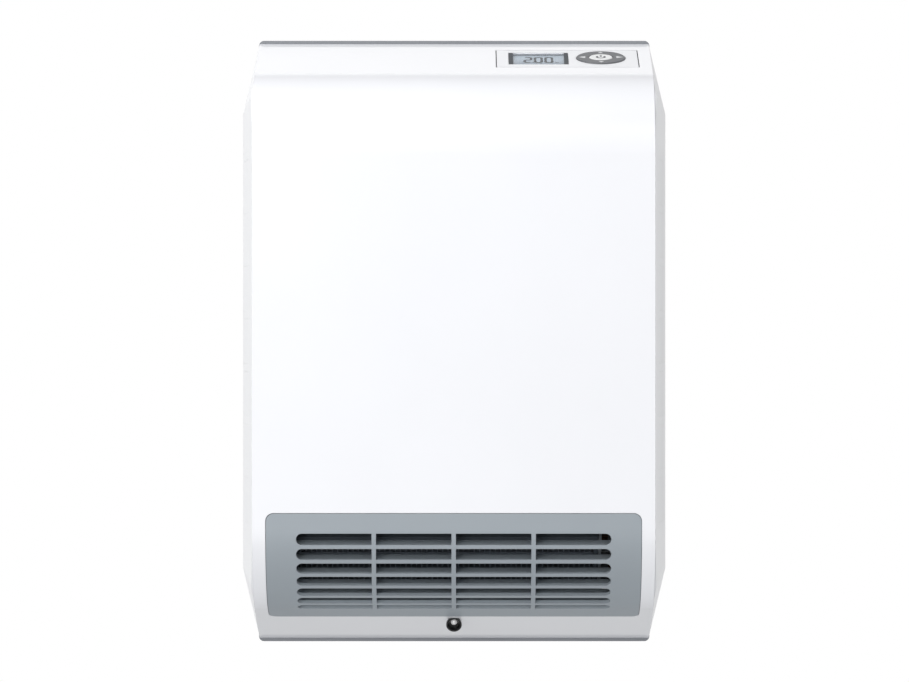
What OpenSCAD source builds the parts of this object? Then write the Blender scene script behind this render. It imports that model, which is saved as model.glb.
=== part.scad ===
// Bathroom wall fan heater: white hood on a grey rear panel, curved outlet grille, top control panel.
// Origin: on the wall plane, at the centre of the four wall holes. -Y is the front, +Z is up.

/* [Body] */
// Overall width, over the side grilles at the wall
body_w = 331; // [328:1:345]
// Overall height of the rear panel
body_h = 470; // [455:1:490]
// Overall depth from the wall to the front face
body_d = 134; // [132:1:140]
// Width of each side grille at the wall, beside the white hood
side_w = 13.2; // [12:0.2:15]
// Wall thickness of the hood
wall_t = 2.6; // [2.2:0.1:3]
// Radius of the hood's curved nose, above and below the front face
nose_r = 65; // [64:0.5:67]
// Slope of the top and bottom faces, degrees
slope = 17.8; // [16.4:0.2:18.4]
// Height of rear panel that shows past the hood
rim_show = 2.6; // [2:0.1:4]

/* [Rear panel] */
// Thickness of the panel's flange on the wall
flange_t = 2; // [1.5:0.1:3]
// Height of the panel's raised floor off the wall
floor_h = 12; // [11:0.5:13]
// Thickness of the raised floor
floor_t = 2.4; // [2:0.1:3]

/* [Wall bracket] */
// Horizontal distance of the wall holes
bolt_dx = 200; // [180:5:210]
// Vertical distance of the wall holes
bolt_dz = 300; // [280:5:320]
// Diameter of the wall holes
bolt_d = 6.5; // [5:0.5:7]
// Sheet thickness
sheet_t = 1.5; // [1:0.1:2]

/* [Side grilles] */
// Length of the tapered ends
taper_l = 55; // [45:1:60]
// Width of an intake slot
intake_w = 4; // [3:0.5:5]
// Number of slots from front to back
intake_cols = 9; // [6:1:9]
// Number of slots from top to bottom
intake_rows = 7; // [5:1:9]

/* [Outlet grille] */
// Width of hood left on each side of the grille
grille_side = 10.5; // [8:0.5:14]
// Width of the grille's face left at each end of a slot row
slot_side = 22.8; // [18:0.2:28]
// Height of a slot
slot_h = 8.7; // [7.5:0.1:9]
// Distance from slot to slot, along the curve
slot_pitch = 11.74; // [11.2:0.02:11.9]
// Number of slot rows
slot_n = 7; // [5:1:7]
// Depth of the louvre fins
fin_l = 12; // [9:0.5:12.5]
// Rise of the louvre fins towards the inside, degrees
fin_rise = 18; // [18:1:40]

/* [Controls] */
// Width of the control panel
panel_w = 109; // [108.6:0.1:112]
// Length of the control panel, along the slope
panel_l = 52; // [51:0.2:53]
// Width of the display window
window_w = 46.2; // [42:0.2:46.6]
// Length of the display window, along the slope
window_l = 36.2; // [32:0.2:38]
// Radius of the navigation ring
ring_r = 19; // [18.6:0.1:19.2]
// Radius of the OK button
ok_r = 9.1; // [8.4:0.1:9.4]
// Travel of the OK button
ok_travel = 0.8; // [0.5:0.1:0.8]

/* [Room sensor] */
// Radius of the black collar
collar_r = 6; // [5.6:0.1:6.6]
// Radius of the white sensor bead
bead_r = 2.5; // [2:0.1:3]

/* [Blower] */
// Outer radius of the cross-flow impeller
fan_r = 25; // [23:0.5:27]
// Number of blades
blade_n = 30; // [24:1:36]
// Clearance from the impeller to each end plate
fan_gap = 4; // [3.5:0.5:8]
// Radius of the shaft
shaft_r = 2.5; // [2:0.1:3]
// Radius of the motor's rotor
rotor_r = 15.6; // [14:0.1:16]
// Thickness of the motor's laminated core
core_t = 16; // [14:1:16]

/* [Heater] */
// Distance between the heat fins
heat_pitch = 4; // [4:0.5:6]
// Height of the heater block
heat_h = 48; // [42:1:48]
// Thickness of the heater block
heat_t = 14; // [12:0.5:15]

/* [Hidden] */
$fn = 64;

gap = 0.3;         // clearance between fixed pieces
run = 0.05;        // radial clearance of a running fit
cut = 1;           // how far a cutter passes the face it cuts

// Side profile, in depth d behind the front face and height z
rim_d = body_d - flange_t;
rim_z = body_h / 2 - rim_show;
nose_z = rim_z - nose_r * cos(slope) - (rim_d - nose_r * (1 - sin(slope))) * tan(slope);
side_x = body_w / 2;
hood_x = side_x - side_w;
hood_w = 2 * hood_x;
grille_w = hood_w - 2 * grille_side;
slot_half = grille_w / 2 - slot_side;

function y_at(d) = d - body_d;
function top_z(d) = nose_z + nose_r * cos(slope) + (d - nose_r * (1 - sin(slope))) * tan(slope);

// ---- Frames of reference ----

// Extrudes a (y, z) outline along X, centred
module along_x(w) {
    rotate([90, 0, 90]) linear_extrude(w, center = true) children();
}

// Extrudes a (y, z) outline from x0 to x1
module from_x(x0, x1) {
    translate([(x0 + x1) / 2, 0, 0]) along_x(x1 - x0) children();
}

// Stands children on the top slope: local Z is the face's outward normal
module on_top(x, d) {
    translate([x, y_at(d), top_z(d)]) rotate([slope, 0, 0]) children();
}

// Puts children at the centre of the lower nose, turned by an angle: local -Y points outwards
module at_nose(angle) {
    translate([0, y_at(nose_r), -nose_z]) rotate([angle, 0, 0]) children();
}

module corners(dx, dz) {
    for (sx = [-1, 1], sz = [-1, 1]) translate([sx * dx / 2, 0, sz * dz / 2]) children();
}

module box(lo, hi) {
    translate(lo) cube(hi - lo);
}

module rod_y(r, y0, y1) {
    translate([0, y1, 0]) rotate([90, 0, 0]) cylinder(r = r, h = y1 - y0);
}

module rod_x(r, x0, x1) {
    translate([x0, 0, 0]) rotate([0, 90, 0]) cylinder(r = r, h = x1 - x0);
}

module round_rect(w, h, r) {
    square([w - 2 * r, h], center = true);
    square([w, h - 2 * r], center = true);
    for (sx = [-1, 1], sy = [-1, 1]) translate([sx * (w / 2 - r), sy * (h / 2 - r)]) circle(r);
}

// ---- Hood form ----

// Side outline of the hood, inset from the outer faces, running past the rim if asked.
// A sharp outline, with the two nose corners cut back to true arcs.
module side_outline(inset, past = 0) {
    r = nose_r - inset;
    front = y_at(inset);
    back = y_at(rim_d) + past;
    foot = [y_at(nose_r) - r * sin(slope), nose_z + r * cos(slope)];
    tip = [front, foot[1] - (foot[0] - front) * tan(slope)];
    rim = [back, foot[1] + (back - foot[0]) * tan(slope)];
    out = cut * [-sin(slope), cos(slope)];
    difference() {
        polygon([tip, rim, [rim[0], -rim[1]], [tip[0], -tip[1]]]);
        for (m = [0, 1]) mirror([0, m]) difference() {
            polygon([[front, nose_z], [front - cut, nose_z], tip + [-cut, cut], foot + out, foot]);
            translate([y_at(nose_r), nose_z]) circle(r);
        }
    }
}

// Solid hood form, inset from the outer faces
module hood_form(inset = 0, past = 0) {
    along_x(2 * (hood_x - inset)) side_outline(inset, past);
}

// ---- Rear panel and wall bracket ----
recess_x = hood_x - wall_t - gap - 3;
recess_z = rim_z - 14;
hook_x = bolt_dx / 2 - 30;
hook_z = bolt_dz / 2 - 30;
hook_w = 14;
hook_rise = 8;
board_c = [0, 0, nose_z - 50.5];
board_size = [150, 100];
board_off = 8;
pcb_t = 1.6;
cable_c = [hood_x - 34.3, 0, 36.4 - rim_z];
cable_r = 4;
lip_r = 9;
cover_post = [hood_x - wall_t - 11, rim_z - 38];
cover_post_l = 20;

module wall_bracket() color("silver") {
    difference() {
        union() {
            rotate([90, 0, 0]) linear_extrude(sheet_t) difference() {
                round_rect(bolt_dx + 40, bolt_dz + 30, 6);
                round_rect(bolt_dx - 30, bolt_dz - 110, 10);
            }
            corners(2 * hook_x, 2 * hook_z) {
                box([-hook_w / 2, -floor_h - gap - sheet_t, -sheet_t], [hook_w / 2, -sheet_t / 2, 0]);
                box([-hook_w / 2, -floor_h - gap - sheet_t, -sheet_t], [hook_w / 2, -floor_h - gap, hook_rise]);
            }
        }
        corners(bolt_dx, bolt_dz) rod_y(bolt_d / 2, -sheet_t - cut, cut);
    }
}

module board_bosses(r, y0, y1) {
    translate([board_c[0], 0, board_c[2]]) corners(board_size[0] - 12, board_size[1] - 12) rod_y(r, y0, y1);
}

module panel_form(depth) {
    intersection() {
        hood_form(wall_t + gap);
        box([-hood_w, -depth, -body_h], [hood_w, cut, body_h]);
    }
}

module rear_panel() color("dimgray") {
    difference() {
        union() {
            rotate([90, 0, 0]) linear_extrude(flange_t) round_rect(hood_w + 1, body_h, 4);
            panel_form(floor_h);
            board_bosses(4, -floor_h - board_off, -floor_h);
            for (s = [-1, 1], z = foot_z) translate([s > 0 ? foot_x[1] : foot_x[0], 0, z])
                rod_y(4, -floor_h - foot_off, -floor_h + floor_t / 2);
        }
        difference() {
            box([-recess_x, -floor_h + floor_t, -recess_z], [recess_x, cut, recess_z]);
            for (z = [-75, 0, 75]) box([-recess_x, -floor_h, z - 1], [recess_x, -flange_t - 3, z + 1]);
            for (s = [-1, 1]) translate([s * (recess_x - 18.4), 0, 0])
                box([-1, -floor_h, -recess_z], [1, -flange_t - 3, recess_z]);
        }
        corners(2 * hook_x, 2 * hook_z)
            box([-hook_w / 2 - 1, -floor_h - cut, -hook_rise - 3], [hook_w / 2 + 1, cut, 0]);
        translate(cable_c) rod_y(lip_r - 1.5, -floor_h - cut, cut);
        board_bosses(1.4, -floor_h - board_off - cut, -floor_h);
        corners(2 * cover_post[0], 2 * cover_post[1]) rod_y(1.9, -floor_h - cut, cut);
        for (s = [-1, 1], z = foot_z) translate([s > 0 ? foot_x[1] : foot_x[0], 0, z])
            rod_y(1.6, -floor_h - foot_off - cut, -floor_h);
    }
}

module cable_gland() color("black") {
    translate(cable_c) difference() {
        union() {
            rod_y(lip_r, -floor_h - 3, -floor_h);
            rod_y(lip_r - 1.5, -floor_h - 1, -floor_h + floor_t);
            rod_y(lip_r, -floor_h + floor_t, -floor_h + floor_t + 2.5);
        }
        rod_y(cable_r, -floor_h - 8, cut);
    }
}

// ---- Hood, side grilles and screws ----
grille_top = -(nose_z - 12.4);
grille_d = nose_r + 3;
grille_corner = 6;
panel_c = [hood_x - 10.3 - panel_w / 2, rim_d - 19 - panel_l / 2 * cos(slope)];
panel_gap = 0.7;
open_d = [nose_r - 33, rim_d - 14];
open_z = rim_z - 84;
collar_dip = 26;
collar_face = [nose_r + 10, -4.7];
lip_t = 2;         // thickness of the collar's lip, which stands outside the hood
neck_r = collar_r - 1.5;
bead_in = 3;
bead_dome = bead_r * 1.25;

module grille_region(g) {
    intersection() {
        translate([0, y_at(nose_r), 0]) rotate([90, 0, 0]) linear_extrude(nose_r + cut) union() {
            translate([0, grille_top + g - body_h / 2]) round_rect(grille_w + 2 * g, body_h, grille_corner);
        }
        grille_plan(g);
    }
    intersection() {
        box([-grille_w / 2 - g, y_at(nose_r) - cut, -body_h], [grille_w / 2 + g, y_at(grille_d) + g, -nose_z]);
        grille_plan(g);
    }
}

// The grille seen from below, with round corners at its rear edge
module grille_plan(g) {
    translate([0, y_at(grille_d) + g - body_d, -body_h]) linear_extrude(body_h)
        round_rect(grille_w + 2 * g, 2 * body_d, max(grille_corner + g, 1));
}

module sensor_axis() {
    translate([0, y_at(collar_face[0]), -top_z(collar_face[0]) + collar_face[1]])
        rotate([collar_dip, 0, 0]) children();
}

module front_cover() color("white") {
    difference() {
        union() {
            hood_form();
            sensor_axis() rod_y(collar_r - 0.2, lip_t + gap, 14);
        }
        hood_form(wall_t, cut);
        grille_region(gap);
        on_top(panel_c[0], panel_c[1]) translate([0, 0, -wall_t - 1]) linear_extrude(wall_t + 2)
            square([panel_w + 2 * panel_gap, panel_l + 2 * panel_gap], center = true);
        sensor_axis() {
            rod_y(collar_r + gap, -10, lip_t + gap);
            rod_y(neck_r + gap, -10, 25);
        }
        along_x(hood_w + 2 * cut) translate([y_at(open_d[0]), -open_z])
            square([open_d[1] - open_d[0], 2 * open_z]);
    }
    // Screw posts on the side walls, which the screws reach from behind
    difference() {
        for (m = [0, 1]) mirror([m, 0, 0]) for (s = [-1, 1]) translate([cover_post[0], 0, s * cover_post[1]]) {
            rod_y(4.2, -floor_h - gap - cover_post_l, -floor_h - gap);
            box([0, -floor_h - gap - cover_post_l, -1.5], [hood_x - wall_t / 2 - cover_post[0], -floor_h - gap, 1.5]);
        }
        corners(2 * cover_post[0], 2 * cover_post[1]) rod_y(1.6, -floor_h - cover_post_l + 3, 0);
    }
}

// Wedge of a side grille, made smaller all round by t
module cheek_wedge(t) {
    intersection() {
        translate([0, 0, -rim_z]) linear_extrude(2 * rim_z) polygon([
            [hood_x, y_at(2) + t * body_d / side_w], [side_x - t, 0], [side_x - t, cut], [hood_x, cut]]);
        translate([hood_x, 0, 0]) along_x(2 * side_w + 2) side_outline(1.2);
        box([hood_x, -body_d, -rim_z], [side_x, y_at(rim_d), rim_z]);
        cheek_chamfer(t);
        mirror([0, 0, 1]) cheek_chamfer(t);
    }
}

// Half-space under the taper of the upper end, which turns a little towards the front
module cheek_chamfer(t) {
    translate([hood_x, 0, rim_z - t]) rotate([0, -atan(side_w / taper_l), 0]) rotate([0, 0, -4.6])
        box([-2 * body_w, -2 * body_d, -body_h], [0, body_d, body_h]);
}

// Intake slots, in depth and height
function intake_y(i) = y_at(open_d[0] + 10 + (i + 0.5) * (open_d[1] - open_d[0] - 16) / intake_cols);

module intake_outline() {
    pitch_z = 2 * (open_z - 6) / intake_rows;
    for (i = [0 : intake_cols - 1], j = [0 : intake_rows - 1])
        translate([intake_y(i), (j - (intake_rows - 1) / 2) * pitch_z]) round_rect(intake_w, pitch_z - 6, 1.5);
}

// Each strip between the slots starts this far in, so that from the front it hides the slot before it
intake_step = 0.35;
function side_at(y) = side_x - side_w * y / y_at(2);

module intake_steps() {
    translate([0, 0, -open_z + 3]) linear_extrude(2 * open_z - 6) for (i = [0 : intake_cols - 1])
        let (y0 = intake_y(i) + intake_w / 2 - 0.5, y1 = intake_y(i + 1) - intake_w / 2 + 0.3)
            polygon([[side_at(y0) - intake_step, y0], [side_at(y1), y1], [side_at(y1) + 1, y1], [side_at(y0) + 1, y0]]);
}

module side_grille() color("white") {
    difference() {
        union() {
            cheek_wedge(0);
            box([hood_x - wall_t, y_at(open_d[0]) + gap, -open_z + gap],
                [hood_x + 0.5, y_at(open_d[1]) - gap, open_z - gap]);
        }
        intersection() {
            union() {
                cheek_wedge(2.2);
                box([hood_x - wall_t - cut, -body_d, -open_z], [hood_x + 0.01, 0, open_z]);
            }
            box([0, y_at(open_d[0]) + 2 + gap, -open_z + 2 + gap], [side_x, y_at(open_d[1]) - 2 - gap, open_z - 2 - gap]);
        }
        from_x(hood_x - 0.5, side_x + cut) intake_outline();
        intake_steps();
    }
}

module side_grille_right() side_grille();

module side_grille_left() mirror([1, 0, 0]) side_grille();

module cover_screws() color("silver") {
    corners(2 * cover_post[0], 2 * cover_post[1]) translate([0, -floor_h + floor_t, 0]) difference() {
        union() {
            rod_y(3.6, 0, 1.6);
            rod_y(1.55, -floor_t - cover_post_l + 6, 0.5);
        }
        rotate([-90, 0, 0]) translate([0, 0, 0.7]) linear_extrude(2) {
            square([4, 0.8], center = true);
            square([0.8, 4], center = true);
        }
    }
}

// ---- Outlet grille ----
slot_angle = slot_pitch / nose_r * 180 / PI;
slot_first = (2.8 + slot_h / 2) / nose_r * 180 / PI;
rib_w = 3.4;
rib_x = (slot_half + rib_w / 2) / 2;
skin_t = 3;
fin_t = 1.6;

module slot_outline() {
    difference() {
        round_rect(2 * slot_half, slot_h, slot_h / 2 - 0.02);
        for (x = [-rib_x, 0, rib_x]) translate([x, 0]) square([rib_w, slot_h + 2], center = true);
    }
}

module outlet_grille() color("lightslategray") {
    difference() {
        intersection() {
            hood_form();
            grille_region(0);
        }
        hood_form(skin_t);
        for (i = [0 : slot_n - 1]) at_nose(slot_first + i * slot_angle) translate([0, -nose_r + skin_t + 2, 0])
            rotate([90, 0, 0]) linear_extrude(skin_t + 8) slot_outline();
    }
    for (i = [0 : slot_n], a = slot_first + (i - 0.5) * slot_angle) at_nose(a)
        translate([0, -nose_r + 1.5, 0]) rotate([fin_rise - a, 0, 0])
        box([-slot_half, 0, -fin_t / 2], [slot_half, fin_l, fin_t / 2]);
    for (x = [-rib_x, 0, rib_x]) intersection() {
        from_x(x - rib_w / 2 + 0.9, x + rib_w / 2 - 0.9) difference() {
            translate([y_at(nose_r), -nose_z]) circle(nose_r - 1);
            translate([y_at(nose_r), -nose_z]) circle(nose_r - 9);
        }
        grille_region(-12);
        at_nose(90 - slope - 1) box([-hood_w, -body_d, -2], [hood_w, 0, body_d]);
    }
    // Lips that lie against the inside of the hood
    intersection() {
        difference() {
            hood_form(wall_t);
            hood_form(wall_t + 1.8);
        }
        difference() {
            grille_region(4);
            grille_region(-3);
        }
        box([-hood_w, -body_d, -body_h], [hood_w, y_at(grille_d) + 3, 0]);
    }
}

// ---- Controls, in the frame of the control panel ----
window_x = -22.2;
ring_x = 26.1;
floor_z = -9.5;
pivot_z = -4;
board_z = -15;
switch_r = 16.5;
pin_r = 0.8;
stem_r = 3;
flange_in = 1.6;
cap_under = -1.2;
boss_top = floor_z + 5;
switch_body = 3.5;
switch_top = board_z + switch_body + 0.55;
stem_end = switch_top + ok_travel + 0.1;

module at_panel() {
    on_top(panel_c[0], panel_c[1]) children();
}

module at_ring() {
    at_panel() translate([ring_x, 1.9, 0]) children();
}

module at_window() {
    at_panel() translate([window_x, 0.6, 0]) children();
}

module control_panel() color("white") {
    difference() {
        at_panel() union() {
            translate([-panel_w / 2, -panel_l / 2, -wall_t]) cube([panel_w, panel_l, wall_t]);
            translate([-panel_w / 2 - 4, -panel_l / 2 + 1, -wall_t - flange_in])
                cube([panel_w + 8, panel_l + 3, flange_in]);
        }
        at_window() {
            translate([0, 0, -1.6]) linear_extrude(3) square([window_w + gap, window_l + gap], center = true);
            translate([0, 0, -8]) linear_extrude(9) square([window_w - 4, window_l - 4], center = true);
            translate([0, 0, -wall_t - 8]) linear_extrude(8) square([window_w + 6, window_l + 4], center = true);
        }
        at_ring() translate([0, 0, -8]) cylinder(r = ring_r + 0.35, h = 10);
    }
}

module display_window() color("lightsteelblue") {
    at_window() translate([0, 0, -1.6]) linear_extrude(1.5) square([window_w, window_l], center = true);
}

module lcd_module() color("darkgray") {
    at_window() translate([0, 0, -wall_t - 3.4]) linear_extrude(3.4) square([window_w + 2, window_l + 2], center = true);
}

module keypad_frame() color("gainsboro") {
    at_ring() difference() {
        union() {
            translate([0, 0, floor_z]) linear_extrude(1.5) round_rect(48, 44, 4);
            for (sx = [-1, 1], sy = [-1, 1]) translate([sx * 21, sy * 19, board_z])
                cylinder(r = 2.4, h = -board_z - wall_t - flange_in);
            for (s = [-1, 1]) box([s * 13.5 - 1.5, -1.5, floor_z], [s * 13.5 + 1.5, 1.5, -2.6]);
            translate([0, 0, floor_z]) cylinder(r = 5, h = boss_top - floor_z);
        }
        translate([0, 0, floor_z - 1]) cylinder(r = stem_r + run, h = 8);
        for (a = [0 : 90 : 270]) rotate([0, 0, a]) translate([switch_r, 0, floor_z - 1]) cylinder(r = 2, h = 8);
        translate([0, 0, pivot_z]) rod_x(pin_r + run, -20, 20);
    }
}

module nav_pivot() color("silver") {
    at_ring() {
        difference() {
            translate([0, 0, pivot_z - 1]) cylinder(r = 11, h = 2);
            translate([0, 0, pivot_z - 2]) cylinder(r = 9, h = 4);
        }
        for (a = [0 : 90 : 270]) rotate([0, 0, a]) translate([0, 0, pivot_z]) rod_x(pin_r, 10, 14.8);
    }
}

module nav_ring() color("dimgray") {
    at_ring() difference() {
        union() {
            translate([0, 0, -1.4]) cylinder(r = ring_r, h = 1.6);
            translate([0, 0, 0.2]) cylinder(r1 = ring_r, r2 = ring_r - 0.6, h = 0.6);
            for (s = [-1, 1]) translate([0, s * 13.5, 0]) box([-1.5, -1.5, pivot_z - 1.4], [1.5, 1.5, 0]);
            for (a = [0 : 90 : 270]) rotate([0, 0, a]) translate([switch_r, 0, -10.2]) cylinder(r = 1.2, h = 9.5);
        }
        translate([0, 0, -2]) cylinder(r = ok_r + 0.4, h = 4);
        translate([0, 0, pivot_z]) rod_y(pin_r + run, -20, 20);
    }
}

module ok_button() color("whitesmoke") {
    at_ring() {
        translate([0, 0, cap_under]) cylinder(r = ok_r, h = 0.4 - cap_under);
        translate([0, 0, 0.4]) cylinder(r1 = ok_r, r2 = ok_r - 0.5, h = 0.5);
        translate([0, 0, stem_end]) cylinder(r = stem_r, h = cap_under - stem_end + 0.5);
    }
}

module button_dome() color("darkgray") {
    at_ring() difference() {
        translate([0, 0, boss_top]) cylinder(r1 = 4.8, r2 = 4.2, h = cap_under - ok_travel - 0.2 - boss_top);
        translate([0, 0, boss_top - cut]) cylinder(r = stem_r + 2 * run, h = 5);
    }
}

module control_board() color("seagreen") {
    at_ring() {
        difference() {
            box([-74, -22, board_z - pcb_t], [26, 22, board_z]);
            for (sx = [-1, 1], sy = [-1, 1]) translate([sx * 21, sy * 19, board_z - 5]) cylinder(r = 1.3, h = 8);
        }
        for (p = [[0, 0], [switch_r, 0], [-switch_r, 0], [0, switch_r], [0, -switch_r]]) translate([p[0], p[1], board_z]) {
            box([-3, -3, 0], [3, 3, switch_body]);
            translate([0, 0, switch_body - 0.5]) cylinder(r = 1.6, h = switch_top - board_z - switch_body + 0.5);
        }
        box([-68, -15, board_z], [-28, 17, -wall_t - 3.4]);
    }
}

// ---- Room sensor ----
module sensor_collar() color("black") {
    cup_r = collar_r - 1.2;
    cup_in = bead_in + 1.4;
    flare = (cup_r - bead_r - run) / cup_in;
    sensor_axis() difference() {
        union() {
            rod_y(collar_r, 0, lip_t);
            rod_y(neck_r, lip_t - 0.5, 20);
        }
        rotate([-90, 0, 0]) translate([0, 0, -cut]) cylinder(r1 = cup_r + cut * flare, r2 = bead_r + run, h = cup_in + cut);
        rod_y(bead_r + run, -cut, 20 + cut);
    }
}

module room_sensor() color("white") {
    sensor_axis() {
        intersection() {
            rod_y(bead_r, 0, 22);
            translate([0, bead_dome + bead_in, 0]) union() {
                sphere(bead_dome);
                rod_y(bead_r + cut, 0, 25);
            }
        }
    }
}

// ---- Blower: its axis, the duct's walls and its outlet, in depth and height ----
out_dip = 40;
duct_x = [30.3 - hood_x, hood_x - 42.3];
plate_t = 2;
fan_c = [nose_r + 8, -nose_z + 24.4];
fan_mid = (duct_x[0] + duct_x[1]) / 2;
fan_l = duct_x[1] - duct_x[0] - 2 * fan_gap;
scroll_r = fan_r + 6;
duct_t = 1.8;
low_end = [nose_r - 12, -nose_z - 53];
high_end = [fin_l + 2.1, -nose_z - 1.6];
foot_x = [duct_x[0] - plate_t - 7, duct_x[1] + plate_t + 7];
foot_z = [fan_c[1] + 34, fan_c[1] - 20];
foot_off = 3;

function flat(p) = [y_at(p[0]), p[1]];
function polar(r, a) = [r * cos(a), r * sin(a)];
low_dir = low_end - fan_c;
tangent_a = atan2(low_dir[1], low_dir[0]) + acos(scroll_r / norm(low_dir));

module at_fan() {
    translate([0, y_at(fan_c[0]), fan_c[1]]) children();
}

module plate_outline() {
    translate(flat(fan_c)) circle(scroll_r + 4);
    polygon([for (p = [high_end, low_end, fan_c + motor_posts[3] + [5, -4], fan_c + [scroll_r + 3, 0],
        fan_c + polar(scroll_r + 3, 172)]) flat(p)]);
    translate([y_at(fan_c[0]), foot_z[1] - 6]) square([-floor_h - foot_off - y_at(fan_c[0]), foot_z[0] - foot_z[1] + 12]);
}

module air_duct() color("gainsboro") {
    steps = 16;
    difference() {
        union() {
            from_x(duct_x[0], duct_x[1]) polygon([for (p = concat(
                [for (i = [0 : steps]) fan_c + polar(scroll_r, 50 + (tangent_a - 50) * i / steps)],
                [low_end, low_end + polar(duct_t, tangent_a)],
                [for (i = [steps : -1 : 0]) fan_c + polar(scroll_r + duct_t, 50 + (tangent_a - 50) * i / steps)]))
                flat(p)]);
            from_x(duct_x[0] - plate_t, duct_x[0]) plate_outline();
            from_x(duct_x[1], duct_x[1] + plate_t) plate_outline();
            for (i = [0, 1], z = foot_z) box(
                [i ? duct_x[1] : foot_x[0] - 5, -floor_h - foot_off - 3, z - 6],
                [i ? foot_x[1] + 5 : duct_x[0], -floor_h - foot_off, z + 6]);
            at_fan() for (p = motor_posts) translate([0, p[0], p[1]]) rod_x(3, duct_x[1] + plate_t, core_x[0]);
        }
        at_fan() rod_x(9, duct_x[0] - 5, duct_x[0] + 1);
        at_fan() rod_x(12, duct_x[1] - 1, duct_x[1] + 5);
        at_nose(out_dip) box([duct_x[1] - 1, heat_mid - 5, -17], [duct_x[1] + 5, heat_mid + 5, 17]);
        for (i = [0, 1], z = foot_z) translate([foot_x[i], 0, z]) rod_y(2, -floor_h - 20, 0);
        at_fan() for (p = motor_posts) translate([0, p[0], p[1]]) rod_x(1.4, duct_x[1] - 1, core_x[1]);
    }
}

// The tongue runs from the lip beside the impeller down to the top of the outlet
lip = fan_c + polar(fan_r + 3, 172);
tongue_end = high_end + [1.4, 0.8];
tongue_a = atan2(lip[1] - tongue_end[1], lip[0] - tongue_end[0]);

module duct_tongue() color("silver") {
    upstand = 7;
    off = polar(duct_t, tongue_a + 90);
    from_x(duct_x[0] + 0.2, duct_x[1] - 0.2) polygon([for (p = [lip, tongue_end, tongue_end + off,
        lip + [-duct_t, duct_t * tan(tongue_a / 2)], lip + [-duct_t, upstand], lip + [0, upstand]]) flat(p)]);
}

module blade_outline() {
    steps = 3;
    r_in = fan_r * 0.8;
    function on_blade(t, off) = let (r = r_in + (fan_r - 0.2 - r_in) * t, a = 26 * t * t + off / r * 57.3)
        polar(r, a);
    polygon(concat([for (i = [0 : steps]) on_blade(i / steps, 0.35)],
        [for (i = [steps : -1 : 0]) on_blade(i / steps, -0.35)]));
}

module fan_impeller() color("dimgray") {
    x0 = fan_mid - fan_l / 2;
    hub = 2.5;
    at_fan() difference() {
        union() {
            translate([x0, 0, 0]) rotate([90, 0, 90]) linear_extrude(fan_l)
                for (i = [0 : blade_n - 1]) rotate([0, 0, i * 360 / blade_n]) blade_outline();
            for (i = [1 : 3]) difference() {
                rod_x(fan_r, x0 + i * fan_l / 4 - 0.6, x0 + i * fan_l / 4 + 0.6);
                rod_x(fan_r * 0.78, x0 + i * fan_l / 4 - 2, x0 + i * fan_l / 4 + 2);
            }
            rod_x(fan_r, x0 - 0.5, x0 + 1.5);
            rod_x(fan_r, x0 + fan_l - 1.5, x0 + fan_l + 0.5);
            rod_x(7, x0 - hub, x0 + 8);
            rod_x(7, x0 + fan_l - 8, x0 + fan_l + hub);
        }
        rod_x(shaft_r + 0.02, x0 - 10, x0 + fan_l + 10);
    }
}

// ---- Motor, on the right end plate ----
core_x = [duct_x[1] + plate_t + 6, duct_x[1] + plate_t + 6 + core_t];
core_y = 26;
limb = [-48, -36];
leg_y = (core_y + rotor_r + 0.4) / 2;
motor_posts = [for (z = [core_y - 5, limb[0] + 5], s = [-1, 1]) [s * (core_y - 5), z]];
bracket_t = 1.5;
bush_r = 5;
bush_l = 4.4;
bush_x = [core_x[0] - 0.4 - bush_l, core_x[1] + 0.4];

module fan_shaft() color("silver") {
    at_fan() rod_x(shaft_r, duct_x[0] - 8, bush_x[1] + bush_l + 3);
}

module motor_rotor() color("gray") {
    at_fan() difference() {
        rod_x(rotor_r, core_x[0], core_x[1]);
        rod_x(shaft_r + 0.02, core_x[0] - 1, core_x[1] + 1);
    }
}

module motor_core() color("slategray") {
    at_fan() from_x(core_x[0], core_x[1]) difference() {
        translate([-core_y, limb[0]]) square([2 * core_y, core_y - limb[0]]);
        circle(rotor_r + 0.4);
        translate([-17, limb[1]]) square([34, 15]);
        for (p = motor_posts) translate(p) circle(1.6);
        for (s = [-1, 1]) translate([s * 13, s * 11]) rotate(45) square([3, 3], center = true);
    }
}

module motor_coil() color("peru") {
    at_fan() difference() {
        box([core_x[0] - 4.5, -16.5, limb[0] - 12], [core_x[1] + 4.5, 16.5, limb[1] + 12]);
        box([core_x[0] - gap, -20, limb[0] - gap], [core_x[1] + gap, 20, limb[1] + gap]);
    }
}

module motor_brackets() color("silver") {
    at_fan() for (m = [0, 1]) {
        x0 = m ? bush_x[1] + 1.2 : bush_x[0] + bush_l - 1.2 - bracket_t;
        difference() {
            union() {
                from_x(x0, x0 + bracket_t) round_rect(2 * core_y, 14, 6);
                for (s = [-1, 1]) translate([0, s * leg_y, 0])
                    rod_x(2.6, m ? core_x[1] : x0, m ? x0 : core_x[0]);
            }
            rod_x(bush_r + 0.02, x0 - 5, x0 + 5);
        }
    }
}

module motor_bushes() color("goldenrod") {
    at_fan() for (x = bush_x) difference() {
        rod_x(bush_r, x, x + bush_l);
        rod_x(shaft_r + run, x - 1, x + bush_l + 1);
    }
}

module bearing_bush() color("goldenrod") {
    at_fan() difference() {
        rod_x(bush_r, duct_x[0] - plate_t - 2, duct_x[0] + 1);
        rod_x(shaft_r + run, duct_x[0] - plate_t - 3, duct_x[0] + 2);
    }
}

module bearing_rubber() color("black") {
    at_fan() difference() {
        union() {
            rod_x(8.9, duct_x[0] - plate_t, duct_x[0]);
            rod_x(11, duct_x[0] - plate_t - 2, duct_x[0] - plate_t);
        }
        rod_x(bush_r + 0.02, duct_x[0] - plate_t - 3, duct_x[0] + 2);
    }
}

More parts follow.
